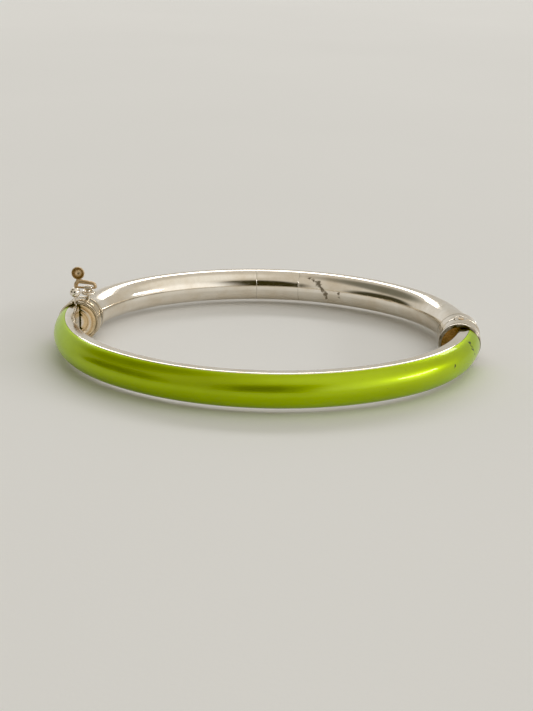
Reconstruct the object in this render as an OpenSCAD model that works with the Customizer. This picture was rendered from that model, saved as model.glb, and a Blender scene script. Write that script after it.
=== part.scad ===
// Hinged tube bangle with an enamelled front half, a tongue clasp and a safety catch.
// Millimetres, +Z up. The bangle lies flat: z = 0 is the plane its round collars rest on.
// The origin is below the centre of the wrist opening. The enamelled half is at -Y,
// the hinge is at +X and the clasp is at -X.

/* [Overall size] */
// width of the oval between the two end collars, on the centreline of the tube
oval_w = 60; // [50:1:72]
// how much less deep than wide the same oval is, front to back
oval_drop = 8; // [6:1:10]
// outside diameter of the plain back tube
tube_d = 5.3; // [4.6:0.1:6.2]
// wall thickness of the tube and of the front channel
wall = 0.45; // [0.35:0.05:0.5]

/* [Front half] */
// height of the flat-sided front half
front_h = 5.2; // [4.6:0.1:5.6]
// how far the crown of the enamel stands outside the centreline
crown = 3.15; // [3:0.05:3.2]
// how far the flat inner face stands inside the centreline
inner_face = 0.2; // [0.1:0.05:0.4]
// thickness of the enamel
enamel_t = 0.35; // [0.25:0.05:0.4]

/* [Collars] */
// how much wider the collars are than the tube, all round
collar_step = 0.6; // [0.5:0.05:0.8]
// length of the collar at the clasp
clasp_len = 3.6; // [3.5:0.1:4.2]
// length of each collar at the hinge
hinge_len = 3.1; // [2.8:0.1:3.6]

/* [Hinge] */
// diameter of the hinge pin
pin_d = 0.9; // [0.7:0.1:1]
// outside diameter of the hinge knuckles
knuckle_d = 2; // [1.8:0.1:2.2]
// how far the front half can swing open, in degrees
open_angle = 38; // [30:1:44]

/* [Clasp and catch] */
// diameter of the press ball on the clasp
ball_d = 1.7; // [1.4:0.02:1.8]
// how far the press ball goes down
press_travel = 0.3; // [0.2:0.05:0.35]
// thickness of the pivot wire of the safety catch
catch_wire = 0.34; // [0.3:0.02:0.36]
// thickness of the two legs of the catch
catch_leg = 0.56; // [0.4:0.02:0.6]
// thickness of the cup of the catch, which closes over the press ball
cup_wall = 0.15; // [0.12:0.01:0.2]
// height of the middle of the cup above the pivot wire
catch_reach = 2.31; // [2.26:0.01:2.5]

/* [Hidden] */
$fn = 64;
sweep_fn = 160;
// fits
solder_gap = 0.02;
running_gap = 0.05;
end_gap = 0.06;
tube_gap = 0.12;
// oval of four arcs that meet without a corner, because the arc centres and the joins stand
// on triangles with sides of 3, 4 and 5 steps; a station on it is named by the angle of its
// outward normal, 0 at the hinge, 90 at the back, 180 at the clasp and 270 at the front
half_w = oval_w / 2;
step = oval_drop / 4;
end_c = 3 * step;
end_r = half_w - 3 * step;
long_c = 4 * step;
long_r = half_w + 2 * step;
join = atan2(4, 3);
// tube and collars
tube_r = tube_d / 2;
collar_r = tube_r + collar_step;
seat_r = tube_r + tube_gap;
mid_z = collar_r;
far = 3 * collar_r;
clasp_tube_y = clasp_len - 1.2;
hinge_tube_y = hinge_len - 1.1;
// the two seams that close the middle section of the back tube
seam_a = 84;
seam_b = 97;
// section of the front half: a round of crown_r with flats above, below and inside
flat_z = front_h / 2;
crown_r = flat_z + 0.09;
crown_c = crown - crown_r;
bed_r = crown_r - enamel_t;
bore_r = bed_r - wall + 0.06;
border_u = crown_c + 0.33 * crown_r;
strip_z = flat_z - wall;
// hinge
pin_r = pin_d / 2;
knuckle_r = knuckle_d / 2;
relief = open_angle / 2 + 0.6;
knuckle_split = 0.58 * collar_r;
knuckle_top = collar_r - 0.1;
web_w = 0.9;
web_y = hinge_len - 1.3;
plate_back = hinge_len - 1.4;
// clasp
mouth_y = 0.55;
mouth_t = 0.3;
ball_r = ball_d / 2;
ball_u = 0.5;
ball_y = 0.7;
ball_z = collar_r + 1.4;
neck_r = 0.27;
notch_r = neck_r + 0.15;
// the tongue passes through the round room that the collar and the channel share
core_r = min(seat_r, bore_r + 0.82);
tongue_u0 = 0.4;
tongue_w = core_r - 1.37;
tongue_z = core_r - 2.27;
tongue_t = 0.28;
tongue_end = clasp_tube_y - 0.25;
leaf_y0 = 0.35;
leaf_y1 = tongue_end - 0.45;
leaf_z = tongue_z + tongue_t + press_travel + 0.08;
leaf_t = 0.25;
// safety catch and the eyelet that carries it
wire_r = catch_wire / 2;
leg_r = catch_leg / 2;
cup_in = ball_r + running_gap;
cup_r = cup_in + cup_wall;
pivot_y = ball_y + catch_reach - 0.01;
pivot_z = ball_z + 0.15;
eye_u = -1.1;
eye_ring_r = 1.04;
eye_wire_r = 0.19;
eye_z = collar_r + 0.8;
eye_barrel_r = wire_r + running_gap + 0.14;
eye_half = 0.6;
foot_outer = 0.85;
foot_inner = -2.25;

// colours
silver = [0.83, 0.82, 0.8];
gilt = [0.72, 0.58, 0.36];
tarnished = [0.5, 0.4, 0.26];
lime = [0.55, 0.68, 0.02];

// ---- placing ----

// section turned about one arc of the oval, from a station through a turn either way
module arc_piece(centre, radius, from, turn) {
  translate(centre)
    rotate([0, 0, from])
      mirror([0, turn < 0 ? 1 : 0, 0])
        rotate_extrude(angle = abs(turn), $fn = sweep_fn)
          translate([radius, 0])
            children();
}

// sweep a section (x = outward from the centreline, y = up) from station a0 to a1;
// pieces start at the joins of the arcs, so that they meet there exactly
module oval_sweep(a0, a1) {
  arcs = [
    [[end_c, 0, 0], end_r, -join, join],
    [[0, -long_c, 0], long_r, join, 180 - join],
    [[-end_c, 0, 0], end_r, 180 - join, 180 + join],
    [[0, long_c, 0], long_r, 180 + join, 360 - join],
    [[end_c, 0, 0], end_r, 360 - join, 360 + join]
  ];
  translate([0, 0, mid_z])
    for (arc = arcs) {
      lo = max(a0, arc[2]);
      hi = min(a1, arc[3]);
      if (hi > lo && a0 > arc[2] && a1 >= arc[3])
        arc_piece(arc[0], arc[1], hi, lo - hi)
          children();
      else if (hi > lo)
        arc_piece(arc[0], arc[1], lo, hi - lo)
          children();
    }
}

// station whose distance behind (or in front of) the collar faces is y
function station(y) = asin(y / end_r);

// hinge end and clasp end, both with x outward, y to the back, z = 0 on the centreline
module hinge_end() {
  translate([half_w, 0, mid_z])
    children();
}

module clasp_end() {
  translate([-half_w, 0, mid_z])
    mirror([1, 0, 0])
      children();
}

// turn +Z to lie along the tube at an end, from the joint to a depth of len
module along_tube(len) {
  rotate([0, 0, station(len) / 2])
    rotate([-90, 0, 0])
      children();
}

// everything in front of the plane y = limit
module in_front_of(limit) {
  translate([-far, limit - 2 * far, -far])
    cube([2 * far, 2 * far, 2 * far]);
}

// ring turned about the tube, from the joint to a depth of len, with eased edges
module ring(len, inside, outside, ease) {
  along_tube(len)
    rotate_extrude()
      polygon([
        [inside, -0.5],
        [outside, -0.5],
        [outside, len - ease],
        [outside - ease, len],
        [inside, len]
      ]);
}

// shallow groove turned round a collar
module groove(len, at, width, depth, outside) {
  along_tube(len)
    translate([0, 0, at])
      difference() {
        cylinder(h = width, r = outside + 0.5);
        translate([0, 0, -0.1])
          cylinder(h = width + 0.2, r = outside - depth);
      }
}

// round plate that closes a collar, from depth y0 to y1
module plate(len, y0, y1) {
  difference() {
    along_tube(len)
      translate([0, 0, -0.5])
        cylinder(h = y1 + 0.5, r = seat_r - solder_gap);
    in_front_of(y0);
  }
}

// ---- back tube ----

module back_tube(a0, a1) {
  difference() {
    oval_sweep(a0, a1)
      circle(r = tube_r);
    oval_sweep(a0 - 0.5, a1 + 0.5)
      circle(r = tube_r - wall);
  }
}

module tube_hinge_side() {
  color(silver)
    back_tube(station(hinge_tube_y), seam_a - 0.04);
}

module tube_middle() {
  color(silver)
    back_tube(seam_a, seam_b);
}

module tube_clasp_side() {
  color(silver)
    back_tube(seam_b + 0.04, 180 - station(clasp_tube_y));
}

// ---- clasp, back side ----

// slot in the top of the collar that the neck of the press ball slides into
module neck_slot(depth) {
  translate([ball_u - notch_r, -1, 0])
    cube([2 * notch_r, depth + 1, far]);
}

module clasp_collar() {
  color(silver)
    clasp_end()
      difference() {
        ring(clasp_len, seat_r, collar_r, 0.3);
        in_front_of(end_gap);
        groove(clasp_len, 0.75, 0.18, 0.14, collar_r);
        groove(clasp_len, clasp_len - 0.85, 0.18, 0.14, collar_r);
        neck_slot(ball_y + notch_r);
        translate([0, -0.1, 0])
          rotate([-90, 0, 0])
            cylinder(h = 0.3, r1 = seat_r + 0.28, r2 = seat_r - 0.02);
      }
}

module clasp_mouth_plate() {
  color(gilt)
    clasp_end()
      difference() {
        plate(clasp_len, mouth_y, mouth_y + mouth_t);
        translate([tongue_u0 - 0.2, 0, tongue_z - 0.2])
          cube([tongue_w + 0.4, 2, leaf_z + leaf_t + 0.35 - tongue_z + 0.2]);
        neck_slot(2);
      }
}

// ---- hinge ----

// room for the knuckles, and the wedge on the outer side that lets the halves swing
module hinge_relief() {
  translate([0, 0, -far])
    cylinder(h = 2 * far, r = knuckle_r + 0.08);
  translate([0, 0, -far])
    rotate([0, 0, relief])
      translate([0, -2 * far, 0])
        cube([2 * far, 2 * far, 2 * far]);
}

module hinge_collar() {
  difference() {
    ring(hinge_len, seat_r, collar_r, 0.3);
    in_front_of(end_gap);
    hinge_relief();
    groove(hinge_len, hinge_len - 0.8, 0.16, 0.12, collar_r);
  }
}

module hinge_collar_rear() {
  color(silver)
    hinge_end()
      hinge_collar();
}

module hinge_collar_front() {
  color(silver)
    hinge_end()
      mirror([0, 1, 0])
        hinge_collar();
}

// web that carries a knuckle in a pocket of its plate
module web(z0, z1, gap) {
  translate([-web_w / 2 - gap, knuckle_r - 0.3, z0 - gap])
    cube([web_w + 2 * gap, web_y - knuckle_r + 0.3 + gap, z1 - z0 + 2 * gap]);
}

module hinge_plate_rear() {
  color(gilt)
    hinge_end()
      difference() {
        plate(hinge_len, end_gap, plate_back);
        hinge_relief();
        web(knuckle_split + 0.04, knuckle_split + 0.44, solder_gap);
        web(-knuckle_split - 0.44, -knuckle_split - 0.04, solder_gap);
      }
}

module hinge_plate_front() {
  color(gilt)
    hinge_end()
      mirror([0, 1, 0])
        difference() {
          plate(hinge_len, end_gap, hinge_len - 0.35);
          hinge_relief();
          web(-1.1, 1.1, solder_gap);
        }
}

module knuckle(z0, z1) {
  translate([0, 0, z0])
    cylinder(h = z1 - z0, r = knuckle_r);
}

module pin_hole() {
  translate([0, 0, -far])
    cylinder(h = 2 * far, r = pin_r + running_gap);
}

module knuckle_upper() {
  color(silver)
    hinge_end()
      difference() {
        union() {
          knuckle(knuckle_split, knuckle_top);
          web(knuckle_split + 0.04, knuckle_split + 0.44, 0);
        }
        pin_hole();
      }
}

module knuckle_lower() {
  color(silver)
    hinge_end()
      difference() {
        union() {
          knuckle(-knuckle_top, -knuckle_split);
          web(-knuckle_split - 0.44, -knuckle_split - 0.04, 0);
        }
        pin_hole();
      }
}

module knuckle_middle() {
  color(silver)
    hinge_end()
      difference() {
        union() {
          knuckle(-knuckle_split + running_gap, knuckle_split - running_gap);
          mirror([0, 1, 0])
            web(-1.1, 1.1, 0);
        }
        pin_hole();
      }
}

module hinge_pin() {
  color(tarnished)
    hinge_end()
      translate([0, 0, -collar_r + 0.05])
        cylinder(h = 2 * collar_r - 0.1, r = pin_r);
}

// ---- front half ----

front_from = 180 + station(end_gap);
front_to = 360 - station(hinge_len + 0.03);

module front_outline() {
  intersection() {
    translate([crown_c, 0])
      circle(r = crown_r);
    translate([-inner_face, -flat_z])
      square([far, front_h]);
  }
}

module front_channel() {
  color(silver)
    oval_sweep(front_from, front_to)
      difference() {
        front_outline();
        // hollow, open on the inner side for the inner wall
        intersection() {
          translate([crown_c, 0])
            circle(r = bore_r);
          translate([-far, -strip_z])
            square([2 * far, 2 * strip_z]);
        }
        translate([-far, -strip_z])
          square([far + crown_c, 2 * strip_z]);
        // bed of the enamel
        difference() {
          translate([border_u, -far])
            square([far, 2 * far]);
          translate([crown_c, 0])
            circle(r = bed_r);
        }
      }
}

module front_inner_wall() {
  color(silver)
    oval_sweep(front_from, front_to)
      translate([-inner_face, -strip_z + solder_gap])
        square([wall, 2 * (strip_z - solder_gap)]);
}

module enamel() {
  color(lime)
    oval_sweep(front_from, front_to)
      difference() {
        intersection() {
          translate([crown_c, 0])
            circle(r = crown_r);
          translate([border_u + solder_gap, -far])
            square([far, 2 * far]);
        }
        translate([crown_c, 0])
          circle(r = bed_r + solder_gap);
      }
}

// ---- clasp, front side ----

module clasp_end_plate() {
  color(silver)
    difference() {
      oval_sweep(180 + station(end_gap + 0.04), 180 + station(end_gap + 0.74))
        intersection() {
          translate([crown_c, 0])
            circle(r = bore_r - solder_gap);
          translate([wall - inner_face + solder_gap, -strip_z + solder_gap])
            square([far, 2 * (strip_z - solder_gap)]);
        }
      clasp_end()
        translate([tongue_u0 - solder_gap, -2, tongue_z - solder_gap])
          cube([tongue_w + 2 * solder_gap, 4, tongue_t + 2 * solder_gap]);
    }
}

// strip folded up at its nose, which the sprung leaf lies behind
module clasp_tongue() {
  nose_r = (leaf_z + 0.1 - tongue_z) / 2;
  color(silver)
    clasp_end()
      translate([tongue_u0, 0, 0]) {
        translate([0, -0.7, tongue_z])
          cube([tongue_w, tongue_end - nose_r + 0.7, tongue_t]);
        translate([0, tongue_end - nose_r, tongue_z + nose_r])
          rotate([0, 90, 0])
            difference() {
              cylinder(h = tongue_w, r = nose_r);
              translate([0, 0, -0.1])
                cylinder(h = tongue_w + 0.2, r = nose_r - tongue_t + 0.05);
              translate([-far, -far, -0.1])
                cube([2 * far, far, tongue_w + 0.2]);
            }
      }
}

module press_leaf() {
  color(silver)
    clasp_end()
      difference() {
        translate([tongue_u0, leaf_y0, leaf_z])
          cube([tongue_w, leaf_y1 - leaf_y0, leaf_t]);
        translate([ball_u, ball_y, 0])
          cylinder(h = far, r = neck_r - 0.1 + solder_gap);
      }
}

module press_ball() {
  color(silver)
    clasp_end()
      translate([ball_u, ball_y, 0]) {
        translate([0, 0, leaf_z + 0.02])
          cylinder(h = ball_z - leaf_z, r = neck_r - 0.1);
        translate([0, 0, leaf_z + leaf_t + solder_gap])
          cylinder(h = ball_z - leaf_z - leaf_t, r = neck_r);
        translate([0, 0, ball_z])
          sphere(r = ball_r);
      }
}

// ---- safety catch ----

// flat wire ring on a post, with a cross barrel for the pivot bar
module catch_eyelet() {
  color(silver)
    clasp_end()
      translate([eye_u, pivot_y, 0]) {
        difference() {
          union() {
            translate([0, 0, collar_r - 0.8])
              cylinder(h = pivot_z - collar_r + 0.6, r = 0.36);
            translate([0, 0, eye_z])
              rotate_extrude()
                translate([eye_ring_r, 0])
                  circle(r = eye_wire_r, $fn = 32);
            translate([-eye_ring_r, 0, eye_z])
              rotate([0, 90, 0])
                cylinder(h = 2 * eye_ring_r, r = 0.13);
            translate([-eye_half, 0, pivot_z])
              rotate([0, 90, 0])
                cylinder(h = 2 * eye_half, r = eye_barrel_r);
          }
          translate([-2, 0, pivot_z])
            rotate([0, 90, 0])
              cylinder(h = 4, r = wire_r + running_gap);
          translate([-eye_u, -pivot_y, 0])
            along_tube(clasp_len)
              translate([0, 0, -1])
                cylinder(h = clasp_len + 4, r = collar_r + solder_gap);
        }
      }
}

// straight round length in the plane of the catch (x, height)
module wire(from, to, radius) {
  run = to - from;
  translate([from[0], 0, from[1]])
    rotate([0, atan2(run[0], run[1]), 0])
      cylinder(h = norm(run), r = radius);
}

// bend in the legs, a little fuller than they are
module bead(at, radius) {
  translate([at[0], 0, at[1]])
    sphere(r = radius);
}

module safety_catch() {
  waist_r = leg_r + 0.08;
  waist = [ball_u, catch_reach - cup_in - waist_r - 0.02];
  knee_outer = [foot_outer, 0.45];
  knee_inner = [foot_inner, eye_barrel_r + running_gap + leg_r + 0.05];
  color(tarnished)
    clasp_end()
      translate([0, pivot_y, pivot_z]) {
        wire([foot_inner, 0], [foot_outer, 0], wire_r);
        wire([foot_outer, 0], knee_outer, leg_r);
        wire(knee_outer, waist, leg_r);
        wire([foot_inner, 0], knee_inner, leg_r);
        wire(knee_inner, waist, leg_r);
        for (corner = [[foot_outer, 0], knee_outer, [foot_inner, 0], knee_inner])
          bead(corner, leg_r + 0.05);
        bead(waist, waist_r);
        // cup that closes over the ball; its mouth faces forward while the catch stands up
        translate([ball_u, 0, catch_reach])
          rotate([-90, 0, 0])
            difference() {
              sphere(r = cup_r);
              sphere(r = cup_in);
              translate([0, 0, -far])
                cylinder(h = far, r = far);
            }
      }
}

tube_clasp_side();
tube_middle();
tube_hinge_side();
clasp_collar();
clasp_mouth_plate();
hinge_collar_rear();
hinge_plate_rear();
knuckle_upper();
knuckle_lower();
hinge_pin();
catch_eyelet();
front_channel();
front_inner_wall();
enamel();
hinge_collar_front();
hinge_plate_front();
knuckle_middle();
clasp_end_plate();
clasp_tongue();
press_leaf();
press_ball();
safety_catch();
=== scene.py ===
import math

import bmesh
import bpy
import numpy as np
from mathutils import Matrix, Vector


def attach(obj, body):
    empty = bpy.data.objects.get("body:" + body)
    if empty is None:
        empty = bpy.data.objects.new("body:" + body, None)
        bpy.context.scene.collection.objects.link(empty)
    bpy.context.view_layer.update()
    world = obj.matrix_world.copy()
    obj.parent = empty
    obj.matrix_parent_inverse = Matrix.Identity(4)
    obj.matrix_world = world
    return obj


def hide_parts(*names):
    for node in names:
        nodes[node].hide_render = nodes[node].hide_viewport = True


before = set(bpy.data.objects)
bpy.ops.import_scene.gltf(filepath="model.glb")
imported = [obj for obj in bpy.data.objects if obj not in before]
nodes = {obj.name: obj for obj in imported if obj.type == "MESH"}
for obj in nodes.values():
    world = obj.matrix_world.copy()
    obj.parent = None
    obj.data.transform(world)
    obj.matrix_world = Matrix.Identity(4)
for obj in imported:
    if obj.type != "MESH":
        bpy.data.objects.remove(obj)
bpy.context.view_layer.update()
print("frame loaded")

# sizes are in millimetres, as in the CAD; meshes, textures, lights and the camera are in metres
mm = 0.001
oval = {"halfWidth": 30.0, "step": 2.0, "height": 3.25}
tube = {"radius": 2.647, "collar": 3.247, "seat": 2.77}


def gridFaces(rows, cols, wrapRows, wrapCols):
    # quads between neighbouring grid points, wrapping round where asked
    r = np.arange(rows if wrapRows else rows - 1)
    c = np.arange(cols if wrapCols else cols - 1)
    r, c = [g.ravel() for g in np.meshgrid(r, c, indexing="ij")]
    r2, c2 = (r + 1) % rows, (c + 1) % cols
    return np.stack([r * cols + c, r2 * cols + c, r2 * cols + c2, r * cols + c2], 1)


def signedVolume(pts, quads):
    # sum of the tetrahedra from the origin to each face, positive when faces look outward
    a, b, c, d = [pts[quads[:, k]] for k in range(4)]
    halves = np.einsum("ij,ij->i", a, np.cross(b, c)) + np.einsum("ij,ij->i", a, np.cross(c, d))
    return halves.sum() / 6


def closedSurface(grid, wrapRows, wrapCols, capRows=True):
    # a grid of points made into a closed skin: open ends get rings drawn in to their middle
    if capRows and not wrapRows:
        shrink = (0.0, 0.5, 0.97)
        first, last = grid[:1].mean(1, keepdims=True), grid[-1:].mean(1, keepdims=True)
        heads = [first + (grid[:1] - first) * s for s in shrink]
        tails = [last + (grid[-1:] - last) * s for s in shrink[::-1]]
        grid = np.concatenate(heads + [grid] + tails, 0)
    rows, cols = grid.shape[:2]
    pts = grid.reshape(-1, 3)
    quads = gridFaces(rows, cols, wrapRows, wrapCols)
    if signedVolume(pts - pts.mean(0), quads) < 0:
        quads = quads[:, ::-1]
    return pts, quads


def closeSeams(mesh):
    # poles and seams merged, then edges that turn by more than the crease angle made sharp
    join, crease = 1e-7, math.radians(40)
    work = bmesh.new()
    work.from_mesh(mesh)
    bmesh.ops.remove_doubles(work, verts=work.verts, dist=join)
    bmesh.ops.dissolve_degenerate(work, edges=work.edges, dist=join)
    for edge in work.edges:
        if len(edge.link_faces) == 2 and edge.calc_face_angle(0.0) > crease:
            edge.smooth = False
    work.to_mesh(mesh)
    work.free()


def makeMesh(name, skins, material, body, replaced, grooveShade=None):
    # skins are (points, quads) pairs joined into one piece; the last argument gives each point a value of
    # painted shade for the grooves
    pts = np.concatenate([s[0] for s in skins], 0) * mm
    starts = np.cumsum([0] + [len(s[0]) for s in skins[:-1]])
    quads = np.concatenate([s[1] + n for s, n in zip(skins, starts)], 0)
    mesh = bpy.data.meshes.new(name)
    mesh.vertices.add(len(pts))
    mesh.vertices.foreach_set("co", pts.astype(np.float32).ravel())
    mesh.loops.add(quads.size)
    mesh.loops.foreach_set("vertex_index", quads.astype(np.int32).ravel())
    mesh.polygons.add(len(quads))
    mesh.polygons.foreach_set("loop_start", np.arange(0, quads.size, 4, dtype=np.int32))
    mesh.polygons.foreach_set("use_smooth", np.ones(len(quads), bool))
    # the value is stored on the points, and the metal finishes read it as painted shade in the grooves
    if grooveShade is not None:
        layer = mesh.attributes.new("grooveShade", "FLOAT", "POINT")
        layer.data.foreach_set("value", np.asarray(grooveShade, np.float32).ravel())
    mesh.update()
    mesh.validate()
    closeSeams(mesh)
    mesh.materials.append(material)
    obj = bpy.data.objects.new(name, mesh)
    bpy.context.scene.collection.objects.link(obj)
    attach(obj, body)
    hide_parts(*replaced)
    return obj


def ovalFrame(phi):
    # centre line and outward normal of the four-arc oval at the stations phi, in degrees:
    # normal = (cos phi, sin phi), point = arc centre + arc radius * normal
    join = math.degrees(math.atan2(4, 3))
    p = np.asarray(phi, float) % 360
    s, w = oval["step"], oval["halfWidth"]
    right, left = (p < join) | (p > 360 - join), (p > 180 - join) & (p < 180 + join)
    back, ahead = (p >= join) & (p <= 180 - join), (p >= 180 + join) & (p <= 360 - join)
    cx = np.where(right, 3 * s, np.where(left, -3 * s, 0.0))
    cy = np.where(back, -4 * s, np.where(ahead, 4 * s, 0.0))
    r = np.where(back | ahead, w + 2 * s, w - 3 * s)
    n = np.stack([np.cos(np.radians(p)), np.sin(np.radians(p)), 0 * p], -1)
    return np.stack([cx, cy, 0 * p + oval["height"]], -1) + r[..., None] * n, n


def station(depth):
    # angle of the station that lies a given depth from the collar faces:
    # asin(depth / radius of the end arcs)
    return math.degrees(math.asin(depth / (oval["halfWidth"] - 3 * oval["step"])))


def sweepOval(section, phi):
    # point = centre + outward * normal + up * upright; the section (outward, up) may vary along it
    centre, n = ovalFrame(phi)
    section = np.broadcast_to(section, (len(phi),) + section.shape[-2:])
    upright = np.array([0, 0, 1.0])
    return centre[:, None] + section[..., :1] * n[:, None] + section[..., 1:] * upright


def roundedOutline(corners, radii, perCorner):
    # closed outline whose corners are quadratic curves, cut back by radius / tan(half the angle)
    out = []
    pts = [np.array(c, float) for c in corners]
    for i, p in enumerate(pts):
        a, b = pts[i - 1], pts[(i + 1) % len(pts)]
        u, v = (a - p) / np.linalg.norm(a - p), (b - p) / np.linalg.norm(b - p)
        half = math.acos(np.clip(u @ v, -1, 1)) / 2
        cut = radii[i] / math.tan(half)
        t = np.linspace(0, 1, perCorner)[:, None]
        out.append((1 - t) ** 2 * (p + u * cut) + 2 * t * (1 - t) * p + t ** 2 * (p + v * cut))
    return np.concatenate(out, 0)


def wireSkin(path, radius, around, closed=False):
    # point = path + radius * (cos a * side + sin a * up), with side square to the path's plane
    path = np.asarray(path, float)
    if closed:
        tangent = np.roll(path, -1, 0) - np.roll(path, 1, 0)
    else:
        tangent = np.gradient(path, axis=0)
    tangent /= np.linalg.norm(tangent, axis=1)[:, None]
    plane = np.linalg.svd(path - path.mean(0))[2][2]
    side = np.broadcast_to(plane, tangent.shape)
    side = side - (side * tangent).sum(1, keepdims=True) * tangent
    side /= np.linalg.norm(side, axis=1)[:, None]
    up = np.cross(tangent, side)
    a = np.linspace(0, 2 * np.pi, around, endpoint=False)[None, :, None]
    rad = np.broadcast_to(np.asarray(radius, float), (len(path),))[:, None, None]
    grid = path[:, None] + rad * (np.cos(a) * side[:, None] + np.sin(a) * up[:, None])
    return closedSurface(grid, closed, True, capRows=not closed)


def smoothPath(points, perSpan):
    # cubic through the points, each span shaped by the points before and after it:
    # (2 b + (c - a) t + (2 a - 5 b + 4 c - d) t^2 + (3 b - a - 3 c + d) t^3) / 2
    p = np.asarray(points, float)
    q = np.concatenate([2 * p[:1] - p[1:2], p, 2 * p[-1:] - p[-2:-1]], 0)
    t = np.linspace(0, 1, perSpan, endpoint=False)[:, None, None]
    a, b, c, d = q[:-3], q[1:-2], q[2:-1], q[3:]
    bend, twist = 2 * a - 5 * b + 4 * c - d, 3 * b - a - 3 * c + d
    s = 0.5 * (2 * b + (c - a) * t + bend * t ** 2 + twist * t ** 3)
    return np.concatenate([s.transpose(1, 0, 2).reshape(-1, p.shape[1]), p[-1:]], 0)


def revolveSkin(profile, around):
    # point = (r cos a, r sin a, z) for a profile of (r, z) whose ends sit on the upright axis
    a = np.linspace(0, 2 * np.pi, around, endpoint=False)
    r, z = np.asarray(profile, float).T
    height = np.broadcast_to(z[:, None], (len(r), around))
    grid = np.stack([r[:, None] * np.cos(a), r[:, None] * np.sin(a), height], -1)
    return closedSurface(grid, False, True, capRows=False)


def endPoint(end, u, y, z):
    # (outward, away from the joint, up from the centre line) at one end, to the shared frame
    sx = 1 if "hinge" in end else -1
    sy = -1 if "Front" in end else 1
    placed = np.broadcast_arrays(sx * (oval["halfWidth"] + u), sy * y, oval["height"] + z)
    return np.stack(placed, -1)


def denseAngles(extra):
    # even steps round a ring, with the extra ones that follow its cuts
    even = np.linspace(0, 2 * np.pi, 181)[:-1]
    return np.unique(np.concatenate([even] + extra) % (2 * np.pi))


def collarSkin(end, length, profile, jointFace, theta):
    # ring turned about the tube: each profile point (radius, depth, behind) stands at its depth,
    # but never nearer the joint than the joint face at that place plus its behind;
    # the tube leans by half the angle of the collar's length, and the ring leans with it
    tilt = math.radians(station(length)) / 2
    radius, depth, behind = [np.asarray(column, float)[:, None] for column in zip(*profile)]
    across = radius * np.cos(theta)
    z = radius * np.sin(theta)
    face = jointFace(across * math.cos(tilt), z)
    lean = across * math.sin(tilt)
    y = np.maximum(depth + lean * (depth > 0), face + behind)
    u = across * math.cos(tilt) - (y - lean) * math.tan(tilt)
    return closedSurface(endPoint(end, u, y, z), True, True, capRows=False)


def newMaterial(name):
    mat = bpy.data.materials.new(name)
    mat.use_nodes = True
    tree = mat.node_tree
    tree.nodes.clear()
    out = tree.nodes.new("ShaderNodeOutputMaterial")
    shader = tree.nodes.new("ShaderNodeBsdfPrincipled")
    tree.links.new(shader.outputs[0], out.inputs["Surface"])
    coords = tree.nodes.new("ShaderNodeTexCoord")
    return mat, tree, shader, coords.outputs["Object"]


def addNoise(tree, vector, scale, detail, rough, stretch=None, output="Fac"):
    if stretch is not None:
        mapping = tree.nodes.new("ShaderNodeMapping")
        mapping.inputs["Scale"].default_value = stretch
        tree.links.new(vector, mapping.inputs["Vector"])
        vector = mapping.outputs[0]
    noise = tree.nodes.new("ShaderNodeTexNoise")
    noise.inputs["Scale"].default_value = scale
    noise.inputs["Detail"].default_value = detail
    noise.inputs["Roughness"].default_value = rough
    tree.links.new(vector, noise.inputs["Vector"])
    return noise.outputs[output]


def addRamp(tree, fac, stops, smooth=False):
    ramp = tree.nodes.new("ShaderNodeValToRGB")
    ramp.color_ramp.interpolation = "EASE" if smooth else "LINEAR"
    while len(ramp.color_ramp.elements) < len(stops):
        ramp.color_ramp.elements.new(0.5)
    for element, (pos, col) in zip(ramp.color_ramp.elements, stops):
        element.position = pos
        element.color = (*col, 1) if isinstance(col, tuple) else (col, col, col, 1)
    tree.links.new(fac, ramp.inputs[0])
    return ramp.outputs[0]


def fillSockets(tree, sockets, values):
    # plain values are set on the sockets, anything else is linked to them
    for socket, value in zip(sockets, values):
        if value is None:
            continue
        if isinstance(value, (int, float, tuple, Vector)):
            socket.default_value = value
        else:
            tree.links.new(value, socket)


def addMath(tree, kind, a, b=None, c=None):
    node = tree.nodes.new("ShaderNodeMath")
    node.operation = kind
    fillSockets(tree, node.inputs, (a, b, c))
    return node.outputs[0]


def addVector(tree, kind, a, b=None, c=None):
    node = tree.nodes.new("ShaderNodeVectorMath")
    node.operation = kind
    fillSockets(tree, node.inputs, (a, b, c))
    single = kind in ("DISTANCE", "LENGTH", "DOT_PRODUCT")
    return node.outputs["Value" if single else "Vector"]


def addMix(tree, fac, a, b):
    node = tree.nodes.new("ShaderNodeMix")
    node.data_type = "RGBA"
    colours = [(*v, 1) if isinstance(v, tuple) else v for v in (a, b)]
    fillSockets(tree, (node.inputs[0], node.inputs[6], node.inputs[7]), (fac, *colours))
    return node.outputs[2]


def addBump(tree, height, strength, distance):
    bump = tree.nodes.new("ShaderNodeBump")
    bump.inputs["Strength"].default_value = strength
    bump.inputs["Distance"].default_value = distance
    tree.links.new(height, bump.inputs["Height"])
    return bump.outputs[0]


def spotMask(tree, coords, spots):
    # mask = ramp((noise + 0.6) * sum of (1 - distance / radius) over the spots), where the place
    # is first pushed about by a second noise, so that outlines are ragged; spots are (x, y, z, radius)
    reach = 1.1 * mm
    ragged = addNoise(tree, coords, 2200, 3, 0.6)
    push = addNoise(tree, coords, 1500, 2, 0.5, output="Color")
    shift = addVector(tree, "MULTIPLY_ADD", push, (reach,) * 3, (-reach / 2,) * 3)
    place = addVector(tree, "ADD", coords, shift)
    total = None
    for x, y, z, radius in spots:
        dist = addVector(tree, "DISTANCE", place, (x * mm, y * mm, z * mm))
        near = addMath(tree, "SUBTRACT", 1.0, addMath(tree, "DIVIDE", dist, radius * mm))
        near = addMath(tree, "MAXIMUM", near, 0.0)
        total = near if total is None else addMath(tree, "ADD", total, near)
    broken = addMath(tree, "MULTIPLY", total, addMath(tree, "ADD", ragged, 0.6))
    return addRamp(tree, broken, [(0.06, 0.0), (0.55, 1.0)])


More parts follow.
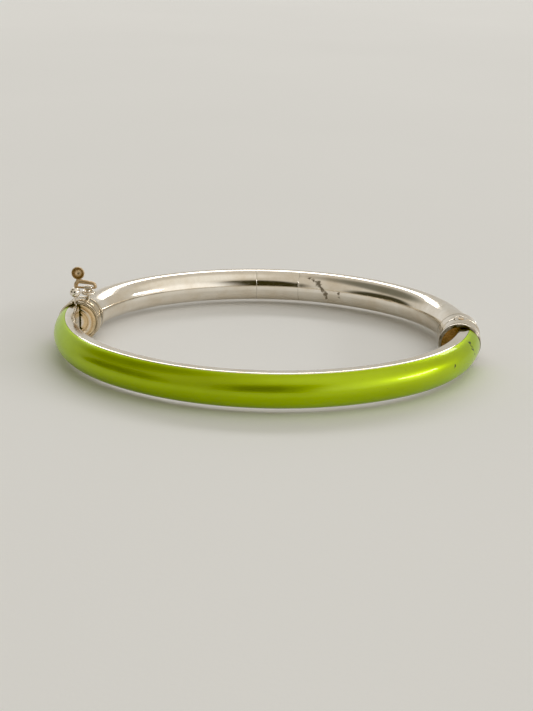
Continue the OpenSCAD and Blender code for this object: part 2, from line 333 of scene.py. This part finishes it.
# tarnish that runs down the inner side of the tube beside its seam
tubePits = [
    (5.3, 23.8, 5.24, 0.4), (6.0, 23.4, 5.0, 0.4), (6.7, 23.0, 4.6, 0.6), (7.1, 22.7, 4.1, 0.45),
    (7.5, 22.5, 3.6, 0.5), (8.0, 22.3, 2.9, 0.6), (8.2, 22.4, 2.2, 0.4), (10.45, 21.6, 3.4, 0.35),
    (10.5, 21.7, 2.6, 0.4), (3.0, 24.4, 4.9, 0.25)]

# film is how far the dull patches spread, rough the low and high roughness, waves the unevenness
silver = {"clean": (0.93, 0.88, 0.80), "dull": (0.80, 0.71, 0.59), "film": 0.4,
          "rough": (0.04, 0.12), "waves": 0.2}
metals = {
    "polishedSilver": silver,
    "pittedSilver": {**silver, "spots": tubePits},
    "filmedSilver": {"clean": (0.90, 0.83, 0.72), "dull": (0.60, 0.48, 0.31), "film": 0.75,
                     "rough": (0.07, 0.18), "waves": 0.3},
    # dark here is the colour of the painted shade in the hinge collars' grooves
    "hingeSilver": {"clean": (0.93, 0.88, 0.80), "dull": (0.74, 0.64, 0.50), "film": 0.5,
                    "rough": (0.05, 0.14), "waves": 0.3, "dark": (0.05, 0.035, 0.02)},
    # hinge plates: brown gilt painted nearly black, mostly painted shade for the hollow inside the collar
    "giltWithPaintedShade": {"clean": (0.62, 0.36, 0.14), "dull": (0.10, 0.055, 0.03), "film": 1.0,
                  "rough": (0.12, 0.3), "waves": 0.9},
    "tarnishedGilt": {"clean": (0.93, 0.78, 0.56), "dull": (0.48, 0.32, 0.17), "film": 0.7,
                      "rough": (0.2, 0.4), "waves": 0.35},
}


def metalMaterial(name, clean, dull, film, rough, waves, dark=(0.10, 0.07, 0.045), spots=()):
    # colour = clean mixed with dull by the film patches, then with dark by the painted groove shade and
    # the spots;
    # that mask = the piece's own painted groove shade value times noise, or its tarnish spots where they
    # are stronger; roughness = noise between the two rough values + 0.1 of the film + 0.35 of that mask
    mat, tree, shader, coords = newMaterial(name)
    patches = addNoise(tree, coords, 260, 5, 0.6)
    filmMask = addRamp(tree, patches, [(0.5 - film * 0.35, 0.0), (0.72, 1.0)])
    colour = addMix(tree, filmMask, clean, dull)
    # the point value is painted shade in the collars' grooves; the spots further down are real tarnish
    deep = tree.nodes.new("ShaderNodeAttribute")
    deep.attribute_name = "grooveShade"
    uneven = addRamp(tree, addNoise(tree, coords, 700, 4, 0.6), [(0.3, 0.45), (0.6, 1.0)])
    grooveShadeAndPits = addMath(tree, "MULTIPLY", deep.outputs["Fac"], uneven)
    colour = addMix(tree, grooveShadeAndPits, colour, dark)
    if spots:
        pits = spotMask(tree, coords, spots)
        colour = addMix(tree, addMath(tree, "MULTIPLY", pits, 0.8), colour, dark)
        grooveShadeAndPits = addMath(tree, "MAXIMUM", grooveShadeAndPits, pits)
    tree.links.new(colour, shader.inputs["Base Color"])
    rub = addNoise(tree, coords, 900, 6, 0.65, stretch=(1.0, 1.0, 6.0))
    roughness = addRamp(tree, rub, [(0.35, rough[0]), (0.75, rough[1])])
    roughness = addMath(tree, "MULTIPLY_ADD", filmMask, 0.1, roughness)
    roughness = addMath(tree, "MULTIPLY_ADD", grooveShadeAndPits, 0.35, roughness)
    tree.links.new(roughness, shader.inputs["Roughness"])
    shader.inputs["Metallic"].default_value = 1.0
    dents = addNoise(tree, coords, 120, 2, 0.5)
    tree.links.new(addBump(tree, dents, waves, 0.06 * mm), shader.inputs["Normal"])
    return mat


# small chips near the hinge end, with the hairline that runs down from the first
enamelChips = [
    (31.0, -8.05, 5.2, 0.45), (31.25, -8.4, 4.85, 0.3), (31.4, -8.55, 4.55, 0.25),
    (31.5, -8.6, 4.3, 0.25), (28.6, -14.9, 3.75, 0.3), (31.85, -8.15, 3.6, 0.3)]


def enamelMaterial():
    # clear green glaze over bright metal: two greens mixed by a slow noise, darker in fine specks
    # and in the chips, under a clear coat that carries the sharp reflections
    mat, tree, shader, coords = newMaterial("limeEnamel")
    deepGreen, paleGreen = (0.42, 0.56, 0.0), (0.47, 0.63, 0.0)
    speckGreen, chipDark = (0.1, 0.13, 0.005), (0.02, 0.03, 0.01)
    cloud = addNoise(tree, coords, 90, 4, 0.6)
    base = addRamp(tree, cloud, [(0.3, deepGreen), (0.7, paleGreen)], smooth=True)
    specks = addRamp(tree, addNoise(tree, coords, 2600, 2, 0.5), [(0.76, 0.0), (0.8, 1.0)])
    base = addMix(tree, specks, base, speckGreen)
    base = addMix(tree, spotMask(tree, coords, enamelChips), base, chipDark)
    tree.links.new(base, shader.inputs["Base Color"])
    wear = addNoise(tree, coords, 300, 5, 0.6)
    tree.links.new(addRamp(tree, wear, [(0.35, 0.34), (0.8, 0.44)]), shader.inputs["Roughness"])
    shader.inputs["Metallic"].default_value = 0.9
    shader.inputs["Specular Tint"].default_value = (0.7, 0.9, 0.1, 1)
    shader.inputs["Coat Weight"].default_value = 0.8
    shader.inputs["Coat Roughness"].default_value = 0.03
    shader.inputs["Coat IOR"].default_value = 1.52
    ripple = addNoise(tree, coords, 70, 2, 0.5)
    normal = addBump(tree, ripple, 0.25, 0.1 * mm)
    tree.links.new(normal, shader.inputs["Normal"])
    tree.links.new(normal, shader.inputs["Coat Normal"])
    return mat


def mouthMaterial():
    # gilt with pale rings of painted reflection and brown rings of painted shade: colour = ramp(r / plate
    # radius + a little noise), with r the distance from the mouth's axis; the bump is a dish that falls
    # towards the middle
    mat, tree, shader, coords = newMaterial("giltWithPaintedLightAndShade")
    middle, plateRadius = (-30.3 * mm, 0.0, 3.1 * mm), 2.8 * mm
    away = addVector(tree, "SUBTRACT", coords, middle)
    level = addVector(tree, "MULTIPLY", away, (1.0, 0.0, 1.0))
    ring = addMath(tree, "DIVIDE", addVector(tree, "LENGTH", level), plateRadius)
    waver = addNoise(tree, coords, 600, 2, 0.5)
    ring = addMath(tree, "MULTIPLY_ADD", waver, 0.08, ring)
    gold, reflectionPale, shadeBrown = (0.90, 0.74, 0.50), (0.96, 0.93, 0.88), (0.66, 0.46, 0.26)
    # pale rings are painted reflection, brown rings painted shade, gold the plate's own colour
    giltAndPaintedRings = [
        (0.0, reflectionPale), (0.38, reflectionPale), (0.46, gold), (0.60, gold), (0.66, shadeBrown), (0.70, gold),
        (0.80, reflectionPale), (0.86, gold), (0.93, shadeBrown), (1.0, gold)]
    steps = [
        (0.0, 0.0), (0.45, 0.12), (0.62, 0.45), (0.70, 0.40), (0.84, 0.9), (0.95, 0.8), (1.0, 1.0)]
    tree.links.new(addRamp(tree, ring, giltAndPaintedRings), shader.inputs["Base Color"])
    dish = addRamp(tree, ring, steps, smooth=True)
    tree.links.new(addBump(tree, dish, 0.6, 0.4 * mm), shader.inputs["Normal"])
    tree.links.new(addRamp(tree, waver, [(0.3, 0.08), (0.7, 0.2)]), shader.inputs["Roughness"])
    shader.inputs["Metallic"].default_value = 1.0
    return mat


finishes = {name: metalMaterial(name, **values) for name, values in metals.items()}
finishes["limeEnamel"] = enamelMaterial()
finishes["giltWithPaintedLightAndShade"] = mouthMaterial()
print("materials made")

# seams are stations in degrees, starts are depths; the ends dip a little where two lengths meet
plainTube = {"seamA": 84.0, "seamB": 97.0, "seamGap": 0.04, "startHinge": 2.0, "startClasp": 2.4,
             "around": 96, "perDegree": 2.0, "dip": 0.035, "dipWidth": 0.05, "nearEnd": (0.02, 0.06)}


def tubeLength(name, fromPhi, toPhi, node, finish):
    # circle swept along the oval; radius = tube radius - dip * exp(-(degrees to the end / width)^2)
    t = plainTube
    phi = np.linspace(fromPhi, toPhi, int((toPhi - fromPhi) * t["perDegree"]) + 8)
    a = np.linspace(0, 2 * np.pi, t["around"], endpoint=False)
    near = np.array(t["nearEnd"])
    phi = np.sort(np.concatenate([phi, fromPhi + near, toPhi - near]))
    toEnd = np.minimum(phi - fromPhi, toPhi - phi)
    radius = tube["radius"] - t["dip"] * np.exp(-(toEnd / t["dipWidth"]) ** 2)
    section = radius[:, None, None] * np.stack([np.cos(a), np.sin(a)], -1)
    skin = closedSurface(sweepOval(section, phi), False, True)
    return makeMesh(name, [skin], finishes[finish], "back_half", [node])


tubeLength("plainTubeHinge", station(plainTube["startHinge"]),
           plainTube["seamA"] - plainTube["seamGap"], "tube_hinge_side", "pittedSilver")
tubeLength("plainTubeMiddle", plainTube["seamA"], plainTube["seamB"], "tube_middle", "polishedSilver")
tubeLength("plainTubeClasp", plainTube["seamB"] + plainTube["seamGap"],
           180 - station(plainTube["startClasp"]), "tube_clasp_side", "polishedSilver")
print("back tube made")

# section of the front half, as (outward, up): a crown of radius crownR about crownC outside,
# flats above and below, and a straight inner side; the depths are where its two ends lie
front = {"flat": 2.6, "inner": -0.2, "crownR": 2.69, "crownC": 0.46, "enamelT": 0.35, "wall": 0.45,
         "border": 0.33, "gap": 0.02, "claspDepth": 0.06, "hingeDepth": 3.13, "steps": 420}
borderU = front["crownC"] + front["border"] * front["crownR"]
frontEnds = (180 + station(front["claspDepth"]), 360 - station(front["hingeDepth"]))
frontPhi = np.linspace(*frontEnds, front["steps"])


def crownArc(radius, fromU, count):
    # arc of a circle about the crown's centre, between the two points where it crosses u = fromU
    top = math.acos((fromU - front["crownC"]) / radius)
    a = np.linspace(top, -top, count)
    return np.stack([front["crownC"] + radius * np.cos(a), radius * np.sin(a)], -1)


def enamelPiece():
    # crown arc outside and bed arc inside, swept along the oval, with a small roll at the long edges
    edgeU, sink, roll = borderU + front["gap"], 0.012, 0.04
    outer = crownArc(front["crownR"] - sink, borderU + 0.05, 72)
    inner = crownArc(front["crownR"] - front["enamelT"], edgeU, 24)[::-1]
    low, high = [[edgeU, -outer[0, 1] + roll]], [[edgeU, outer[0, 1] - roll]]
    section = np.concatenate([outer, low, inner, high], 0)
    skin = closedSurface(sweepOval(section, frontPhi), False, True)
    return makeMesh("enamelShell", [skin], finishes["limeEnamel"], "front_half", ["enamel"])


def channelPiece():
    # borders above and below and the bed under the enamel, open on the wrist side and swept along
    # the oval; the lower half of the section is the upper half mirrored
    flat, inner, wall = front["flat"], front["inner"], front["wall"]
    lip = crownArc(front["crownR"], borderU, 3)[0]
    bed = crownArc(front["crownR"] - front["enamelT"] - front["gap"], borderU, 40)
    shoulder = crownArc(front["crownR"], 1.0, 3)[0]
    top = np.array([
        [inner, flat - 0.16], [inner + 0.05, flat - 0.06], [inner + 0.16, flat - 0.01],
        [inner + 0.4, flat], [0.9, flat], [shoulder[0] + 0.1, flat - 0.01],
        [lip[0] - 0.05, lip[1] + 0.01], [lip[0], lip[1] - 0.03]])
    low = top[::-1] * [1, -1]
    mouth = np.array([[inner, wall - flat]])
    deep = np.array([[front["crownC"] + 1.2, wall - flat]])
    hollow = [mouth, deep, deep * [1, -1], mouth * [1, -1]]
    section = np.concatenate([top, bed, low] + hollow, 0)
    skin = closedSurface(sweepOval(section, frontPhi), False, True)
    return makeMesh("silverChannel", [skin], finishes["polishedSilver"], "front_half", ["front_channel"])


def innerStrip():
    # flat strip that closes the wrist side: a rectangle with softened corners swept along the oval
    z = front["flat"] - front["wall"] - front["gap"]
    near, far = front["inner"], front["inner"] + front["wall"]
    section = roundedOutline([[near, -z], [far, -z], [far, z], [near, z]], [0.03] * 4, 4)
    skin = closedSurface(sweepOval(section, frontPhi), False, True)
    return makeMesh("innerStrip", [skin], finishes["polishedSilver"], "front_half", ["front_inner_wall"])


enamelPiece()
channelPiece()
innerStrip()
print("front half made")

hinge = {"length": 3.1, "gap": 0.06, "relief": 19.6, "clear": 1.08, "plateRear": 1.7, "plateFront": 2.75}


def hingeFace(u, z):
    # depth of the joint face: flat inside, a wedge outside, a round pocket for the knuckles
    wedge = np.maximum(u, 0) * math.tan(math.radians(hinge["relief"]))
    pocket = np.sqrt(np.maximum(hinge["clear"] ** 2 - u ** 2, 0))
    return np.maximum(np.maximum(wedge, pocket), hinge["gap"])


def pocketAngles(radius):
    # steps round a ring of this radius, closer where the knuckle pocket's edge crosses it
    cut = math.acos(hinge["clear"] / radius)
    crossings = (cut, np.pi - cut, np.pi + cut, -cut)
    return denseAngles([np.linspace(c - 0.06, c + 0.06, 25) for c in crossings])


def paintedGrooveShade(profile, outer, around):
    # painted shade for the grooves = distance below the outer skin / 0.05, held between 0 and 1, weaker on
    # the joint face
    prof = np.asarray(profile, float)
    value = np.clip((outer - prof[:, 0]) / 0.05, 0, 1)
    value[(prof[:, 1] == 0.0)] *= 0.3
    return np.repeat(value[:, None], around, 1)


def hingeCollar(end, body, node):
    # ring with rounded edges and one groove near its tube end
    outer, seat, length = tube["collar"], tube["seat"], hinge["length"]
    profile = [
        (seat, length, 0.5), (seat, 0.0, 0.0),
        (outer - 0.1, 0.0, 0.0), (outer - 0.03, 0.0, 0.03), (outer, 0.0, 0.1),
        (outer, 0.5, 0.14), (outer, length - 0.84, 0.18),
        (outer - 0.03, length - 0.81, 0.2), (outer - 0.12, length - 0.79, 0.22),
        (outer - 0.12, length - 0.65, 0.24), (outer - 0.03, length - 0.63, 0.26),
        (outer, length - 0.6, 0.28), (outer, length - 0.32, 0.3),
        (outer - 0.04, length - 0.17, 0.32), (outer - 0.13, length - 0.06, 0.34),
        (outer - 0.28, length, 0.36), (seat + 0.05, length, 0.38)]
    theta = pocketAngles(outer)
    skin = collarSkin(end, length, profile, hingeFace, theta)
    # painted shade for the groove
    grooveShading = paintedGrooveShade(profile, outer, len(theta))
    name = "hingeCollar" + node.split("_")[-1].capitalize()
    return makeMesh(name, [skin], finishes["hingeSilver"], body, [node], grooveShade=grooveShading)


def hingePlate(end, body, node, back):
    # disc inside the collar: rings out over its back, which lies at the given depth, and in again
    # over the joint face; the close rings in the middle follow the edge of the knuckle pocket
    radius = tube["seat"] - 0.02
    rings = np.sort(np.concatenate([np.linspace(0.02, 1.0, 28) * radius, np.linspace(0.9, 1.3, 12)]))
    rear = [(r, back, 0.3) for r in rings]
    face = [(r, 0.0, 0.0) for r in rings[::-1]]
    skin = collarSkin(end, hinge["length"], rear + face, hingeFace, pocketAngles(radius))
    name = "hingePlate" + node.split("_")[-1].capitalize()
    # the finish is brown gilt darkened with painted shade for the hollow where the plate sits
    return makeMesh(name, [skin], finishes["giltWithPaintedShade"], body, [node])


hingeCollar("hingeRear", "back_half", "hinge_collar_rear")
hingeCollar("hingeFront", "front_half", "hinge_collar_front")
hingePlate("hingeRear", "back_half", "hinge_plate_rear", hinge["plateRear"])
hingePlate("hingeFront", "front_half", "hinge_plate_front", hinge["plateFront"])
print("hinge made")

clasp = {"length": 3.6, "gap": 0.06, "ballU": 0.5, "ballY": 0.7, "ballZ": 4.65, "ballR": 0.85,
         "ballFlat": 0.94, "notch": 0.42}


def claspFace(u, z):
    # depth of the mouth: flat, with a round-ended slot in the top for the neck of the ball
    offset = np.abs(u - clasp["ballU"])
    slot = clasp["ballY"] + np.sqrt(np.maximum(clasp["notch"] ** 2 - offset ** 2, 0))
    return np.where((offset < clasp["notch"]) & (z > 0), slot, clasp["gap"])


def claspCollar():
    # ring with a bevelled mouth, rounded edges, a groove near each end, and the neck's slot
    outer, seat, length = tube["collar"], tube["seat"], clasp["length"]
    right, left = [math.acos((clasp["ballU"] + s * clasp["notch"]) / outer) for s in (1, -1)]
    theta = denseAngles([np.linspace(right - 0.05, left + 0.05, 160)])
    profile = [
        (seat, length, 0.9), (seat, 0.2, 0.2), (seat + 0.03, 0.14, 0.14), (seat + 0.24, 0.0, 0.0),
        (outer - 0.12, 0.0, 0.0), (outer - 0.04, 0.0, 0.03), (outer, 0.0, 0.11),
        (outer, 0.7, 0.15), (outer - 0.03, 0.74, 0.17), (outer - 0.14, 0.77, 0.19),
        (outer - 0.14, 0.91, 0.21), (outer - 0.03, 0.94, 0.23), (outer, 0.98, 0.25),
        (outer, 1.8, 0.3), (outer, length - 0.9, 0.4),
        (outer - 0.03, length - 0.86, 0.42), (outer - 0.14, length - 0.83, 0.44),
        (outer - 0.14, length - 0.7, 0.46), (outer - 0.03, length - 0.66, 0.48),
        (outer, length - 0.62, 0.5), (outer, length - 0.3, 0.55),
        (outer - 0.04, length - 0.16, 0.57), (outer - 0.13, length - 0.05, 0.59),
        (outer - 0.28, length, 0.6), (seat + 0.05, length, 0.65)]
    skin = collarSkin("claspRear", length, profile, claspFace, theta)
    # painted shade for the two grooves
    grooveShading = paintedGrooveShade(profile, outer, len(theta))
    material = finishes["filmedSilver"]
    return makeMesh("claspCollar", [skin], material, "back_half", ["clasp_collar"], grooveShade=grooveShading)


def claspSkins(skins):
    # skins in the clasp end's own axes to the shared frame; that end is mirrored, so faces turn round
    return [(endPoint("claspRear", p[:, 0], p[:, 1], p[:, 2]), q[:, ::-1]) for p, q in skins]


def pressBall():
    # slightly flattened ball on a waisted neck, turned about the ball's axis
    r, z = clasp["ballR"], clasp["ballZ"]
    a = np.linspace(-1.2, np.pi / 2, 40)
    ball = np.stack([r * np.cos(a), z + clasp["ballFlat"] * r * np.sin(a)], -1)
    neck = [[0.0, 1.18], [0.16, 1.18], [0.17, 1.45], [0.27, 1.47], [0.27, 3.3], [0.25, 3.6], [0.24, 3.85]]
    pts, quads = revolveSkin(np.concatenate([neck, ball], 0), 64)
    skins = claspSkins([(pts + [clasp["ballU"], clasp["ballY"], 0.0], quads)])
    return makeMesh("pressBall", skins, finishes["polishedSilver"], "press", ["press_ball"])


claspCollar()
pressBall()
print("clasp made")

eyelet = {"u": -1.1, "y": 3.0, "ringR": 1.04, "ringWire": 0.19, "ringZ": 4.05, "spokeWire": 0.13,
          "barrelZ": 4.8, "barrelR": 0.36, "barrelHalf": 0.6, "barrelEdge": 0.06, "hole": 0.22}


def eyeletPiece():
    # flat wire ring with a spoke across it, a turned post, and a short barrel for the catch's bar
    e = eyelet
    a = np.linspace(0, 2 * np.pi, 72, endpoint=False)
    centre = np.array([e["u"], e["y"], e["ringZ"]])
    ring = centre + e["ringR"] * np.stack([np.cos(a), np.sin(a), 0 * a], -1)
    spoke = centre + np.linspace(-1, 1, 9)[:, None] * np.array([e["ringR"], 0, 0])
    spoke = spoke + np.array([0, 0, 1e-6]) * np.arange(9)[:, None] ** 2  # bent a hair, for a plane
    post, postFaces = revolveSkin([(0, 2.86), (0.36, 2.9), (0.36, 4.3), (0.3, 4.45), (0, 4.5)], 32)
    h, r, hole, edge = e["barrelHalf"], e["barrelR"], e["hole"], e["barrelEdge"]
    outline = [(hole, -h), (hole, h), (r - edge, h), (r, h - edge), (r, edge - h), (r - edge, -h)]
    out, along = [column[:, None] for column in np.array(outline).T]
    t = np.linspace(0, 2 * np.pi, 40, endpoint=False)
    barrel = np.stack(np.broadcast_arrays(along, out * np.cos(t), out * np.sin(t)), -1)
    skins = [
        wireSkin(ring, e["ringWire"], 24, closed=True),
        wireSkin(spoke, e["spokeWire"], 16),
        (post + [e["u"], e["y"], 0], postFaces),
        closedSurface(barrel + [e["u"], e["y"], e["barrelZ"]], True, True, capRows=False)]
    material = finishes["polishedSilver"]
    return makeMesh("catchEyelet", claspSkins(skins), material, "back_half", ["catch_eyelet"])


catch = {"pivotY": 3.0, "pivotZ": 4.8, "barWire": 0.17, "waistZ": 1.03, "waistR": 0.36, "reach": 2.31,
         "cupR": 1.045, "cupIn": 0.9, "outerFoot": 0.85, "innerFoot": -2.25,
         "outerThick": (0.27, 0.33, 0.34), "innerThick": (0.24, 0.27, 0.35)}


def catchPlane(points):
    # points (across, above the pivot) put in the upright plane of the catch
    p = np.asarray(points, float)
    return np.stack([p[:, 0], np.full(len(p), catch["pivotY"]), catch["pivotZ"] + p[:, 1]], -1)


def catchLeg(points, perSpan, thick):
    # bent wire; its radius runs through the three values and is eased in at the foot
    leg = smoothPath(points, perSpan)
    along = np.linspace(0, 1, len(leg))
    radius = np.interp(along, [0, 0.5, 1], thick) * np.sqrt(np.clip(along / 0.06, 0.35, 1))
    return wireSkin(catchPlane(leg), radius, 32)


def catchCup():
    # half circles outside and inside joined by a softened rim, turned about the cup's axis,
    # which lies level, so that the cup's depth runs away from the joint
    c = catch
    t = np.linspace(0, np.pi / 2, 28)
    outside = c["cupR"] * np.stack([np.sin(t), np.cos(t)], -1)
    rim = [[c["cupR"] - 0.02, -0.03], [c["cupR"] - 0.07, -0.045], [c["cupIn"] + 0.02, -0.03]]
    inside = c["cupIn"] * np.stack([np.sin(t[::-1]), np.cos(t[::-1])], -1)
    cup, quads = revolveSkin(np.concatenate([outside, rim, inside], 0), 72)
    y, z = c["pivotY"] + cup[:, 2], c["pivotZ"] + c["reach"] - cup[:, 1]
    return np.stack([clasp["ballU"] + cup[:, 0], y, z], -1), quads


def safetyCatch():
    # bar, two tapered legs that meet at a round waist, and the hollow cup above it
    c = catch
    out, inn = c["outerFoot"], c["innerFoot"]
    waist = [clasp["ballU"], c["waistZ"]]
    bar = catchPlane([[inn, 0.0], [-0.7, 1e-4], [out, 0.0]])
    outer = [[out, -0.04], [out + 0.02, 0.2], [out - 0.03, 0.55], [0.62, 0.85], waist]
    inner = [[inn, -0.04], [inn + 0.02, 0.35], [inn + 0.3, 0.72], [-0.8, 0.9], waist]
    b = np.linspace(-np.pi / 2, np.pi / 2, 20)
    knot, knotFaces = revolveSkin(c["waistR"] * np.stack([np.cos(b), np.sin(b)], -1), 32)
    skins = [
        wireSkin(bar, c["barWire"], 20),
        catchLeg(outer, 10, c["outerThick"]),
        catchLeg(inner, 12, c["innerThick"]),
        (knot + catchPlane([waist]), knotFaces),
        catchCup()]
    return makeMesh("safetyCatch", claspSkins(skins), finishes["tarnishedGilt"], "catch", ["safety_catch"])


eyeletPiece()
safetyCatch()
print("catch made")

# these pieces keep their CAD shape and get a finish
carried = {
    "knuckle_upper": "polishedSilver", "knuckle_lower": "polishedSilver",
    "knuckle_middle": "polishedSilver", "hinge_pin": "tarnishedGilt",
    "clasp_mouth_plate": "giltWithPaintedLightAndShade", "clasp_end_plate": "polishedSilver",
    "clasp_tongue": "polishedSilver", "press_leaf": "polishedSilver"}
for nodeName, finish in carried.items():
    nodes[nodeName].data.materials.clear()
    nodes[nodeName].data.materials.append(finishes[finish])
print("carried pieces finished")


def floorMaterial():
    # pale cloth: a tone that drifts slowly between two values, with a fine grain
    mat, tree, shader, coords = newMaterial("paleCloth")
    drift = addNoise(tree, coords, 5, 3, 0.5)
    tone = addRamp(tree, drift, [(0.3, (0.85, 0.855, 0.86)), (0.7, (0.88, 0.885, 0.89))])
    tree.links.new(tone, shader.inputs["Base Color"])
    grain = addNoise(tree, coords, 1500, 3, 0.6)
    tree.links.new(addBump(tree, grain, 0.15, 0.1 * mm), shader.inputs["Normal"])
    shader.inputs["Roughness"].default_value = 0.85
    return mat


def buildFloor():
    # flat sheet, height zero everywhere
    reach, count = 4.0, 9
    side = np.linspace(-reach, reach, count)
    x, y = np.meshgrid(side, side, indexing="ij")
    pts = np.stack([x, y, 0 * x], -1).reshape(-1, 3)
    mesh = bpy.data.meshes.new("floor")
    mesh.from_pydata(pts.tolist(), [], gridFaces(count, count, False, False).tolist())
    mesh.materials.append(floorMaterial())
    floor = bpy.data.objects.new("floor", mesh)
    bpy.context.scene.collection.objects.link(floor)


# both boxes stand this many metres from the bangle
lightDistance = 3.0
lights = {
    "window": {"toward": (0.944, -0.116, 0.309), "size": (1.5, 0.28), "radiance": 9.0,
               "colour": (0.98, 0.99, 1.0)},
    "behind": {"toward": (0.0, 0.78, 0.62), "size": (3.4, 0.5), "radiance": 4.0,
               "colour": (1.0, 0.99, 0.97)},
}


def areaLight(name, toward, size, radiance, colour):
    # soft box that faces the bangle: power = radiance * pi * area
    data = bpy.data.lights.new(name, "AREA")
    data.shape = "RECTANGLE"
    data.size, data.size_y = size
    data.energy = radiance * math.pi * size[0] * size[1]
    data.color = colour
    obj = bpy.data.objects.new(name, data)
    bpy.context.scene.collection.objects.link(obj)
    obj.location = Vector(toward).normalized() * lightDistance
    obj.rotation_euler = (-obj.location).to_track_quat("-Z", "Y").to_euler()


# the room: each patch lies over the ones before it, and comes in as the looked-at direction turns
# towards its own, from the first cosine to the second
horizon = (0.54, 0.51, 0.45)
roomPatches = [
    {"toward": (0, 0, 1), "cosines": (0.0, 0.9), "colour": (0.60, 0.56, 0.49)},  # ceiling
    {"toward": (0.45, -0.16, 0.88), "cosines": (0.82, 0.97), "colour": (0.85, 0.82, 0.75)},
    {"toward": (0.0, 1.0, 0.25), "cosines": (0.5, 0.95), "colour": (0.54, 0.525, 0.49)},
    {"toward": (-0.7, 0.75, 0.0), "cosines": (0.75, 0.95), "colour": (0.70, 0.69, 0.66)},
    {"toward": (-0.60, 0.12, 0.80), "cosines": (0.86, 0.98), "colour": (0.17, 0.165, 0.14)},
    {"toward": (-0.94, -0.34, 0.05), "cosines": (0.86, 0.94), "colour": (0.05, 0.045, 0.035)},
    {"toward": (0.15, -1.0, 0.28), "cosines": (0.84, 0.93), "colour": (0.035, 0.030, 0.022)},
    {"toward": (0.84, -0.54, 0.1), "cosines": (0.72, 0.95), "colour": (1.05, 1.02, 0.96)},
]


def buildWorld():
    # colour = the horizon's, mixed with each patch in turn by smoothstep(direction . patch direction)
    world = bpy.data.worlds.new("studio")
    bpy.context.scene.world = world
    world.use_nodes = True
    tree = world.node_tree
    back = tree.nodes["Background"]
    looking = tree.nodes.new("ShaderNodeTexCoord").outputs["Generated"]
    colour = horizon
    for patch in roomPatches:
        turned = addVector(tree, "DOT_PRODUCT", looking, Vector(patch["toward"]).normalized())
        span = tree.nodes.new("ShaderNodeMapRange")
        span.interpolation_type = "SMOOTHSTEP"
        low, high = patch["cosines"]
        span.inputs["From Min"].default_value = low
        span.inputs["From Max"].default_value = high
        tree.links.new(turned, span.inputs["Value"])
        colour = addMix(tree, span.outputs["Result"], colour, patch["colour"])
    tree.links.new(colour, back.inputs["Color"])
    back.inputs["Strength"].default_value = 1.0


# angles in degrees, lens and sensor in millimetres, distance in metres
camera = {"azimuth": 4.83, "elevation": 17.98, "roll": 0.99, "pan": -0.0063166, "tilt": 1.0736963,
          "distance": 0.21306, "lens": 68.891139, "sensor": 36.0}


def buildCamera():
    # stands off the oval's middle by azimuth, elevation and distance, then tilts, pans and rolls
    c = camera
    az, el, roll, pan, tilt = [math.radians(c[k]) for k in ("azimuth", "elevation", "roll", "pan", "tilt")]
    middle = Vector((0, 0, oval["height"] * mm))
    ahead = Vector((-math.sin(az) * math.cos(el), math.cos(az) * math.cos(el), -math.sin(el)))
    right = Vector((math.cos(az), math.sin(az), 0))
    up = right.cross(ahead)
    turn = Matrix((right, up, -ahead)).transposed()
    for angle, axis in ((-tilt, "X"), (pan, "Y"), (roll, "Z")):
        turn = turn @ Matrix.Rotation(angle, 3, axis)
    data = bpy.data.cameras.new("camera")
    data.sensor_width = c["sensor"]
    data.lens = c["lens"]
    data.clip_start = 0.005
    cam = bpy.data.objects.new("camera", data)
    bpy.context.scene.collection.objects.link(cam)
    cam.matrix_world = Matrix.Translation(middle - ahead * c["distance"]) @ turn.to_4x4()
    bpy.context.scene.camera = cam


buildFloor()
for lightName, values in lights.items():
    areaLight(lightName, **values)
buildWorld()
buildCamera()
view = bpy.context.scene.view_settings
view.view_transform = "Standard"
view.use_curve_mapping = True
view.curve_mapping.black_level = (0.003, 0.003, 0.012)
print("stage made")
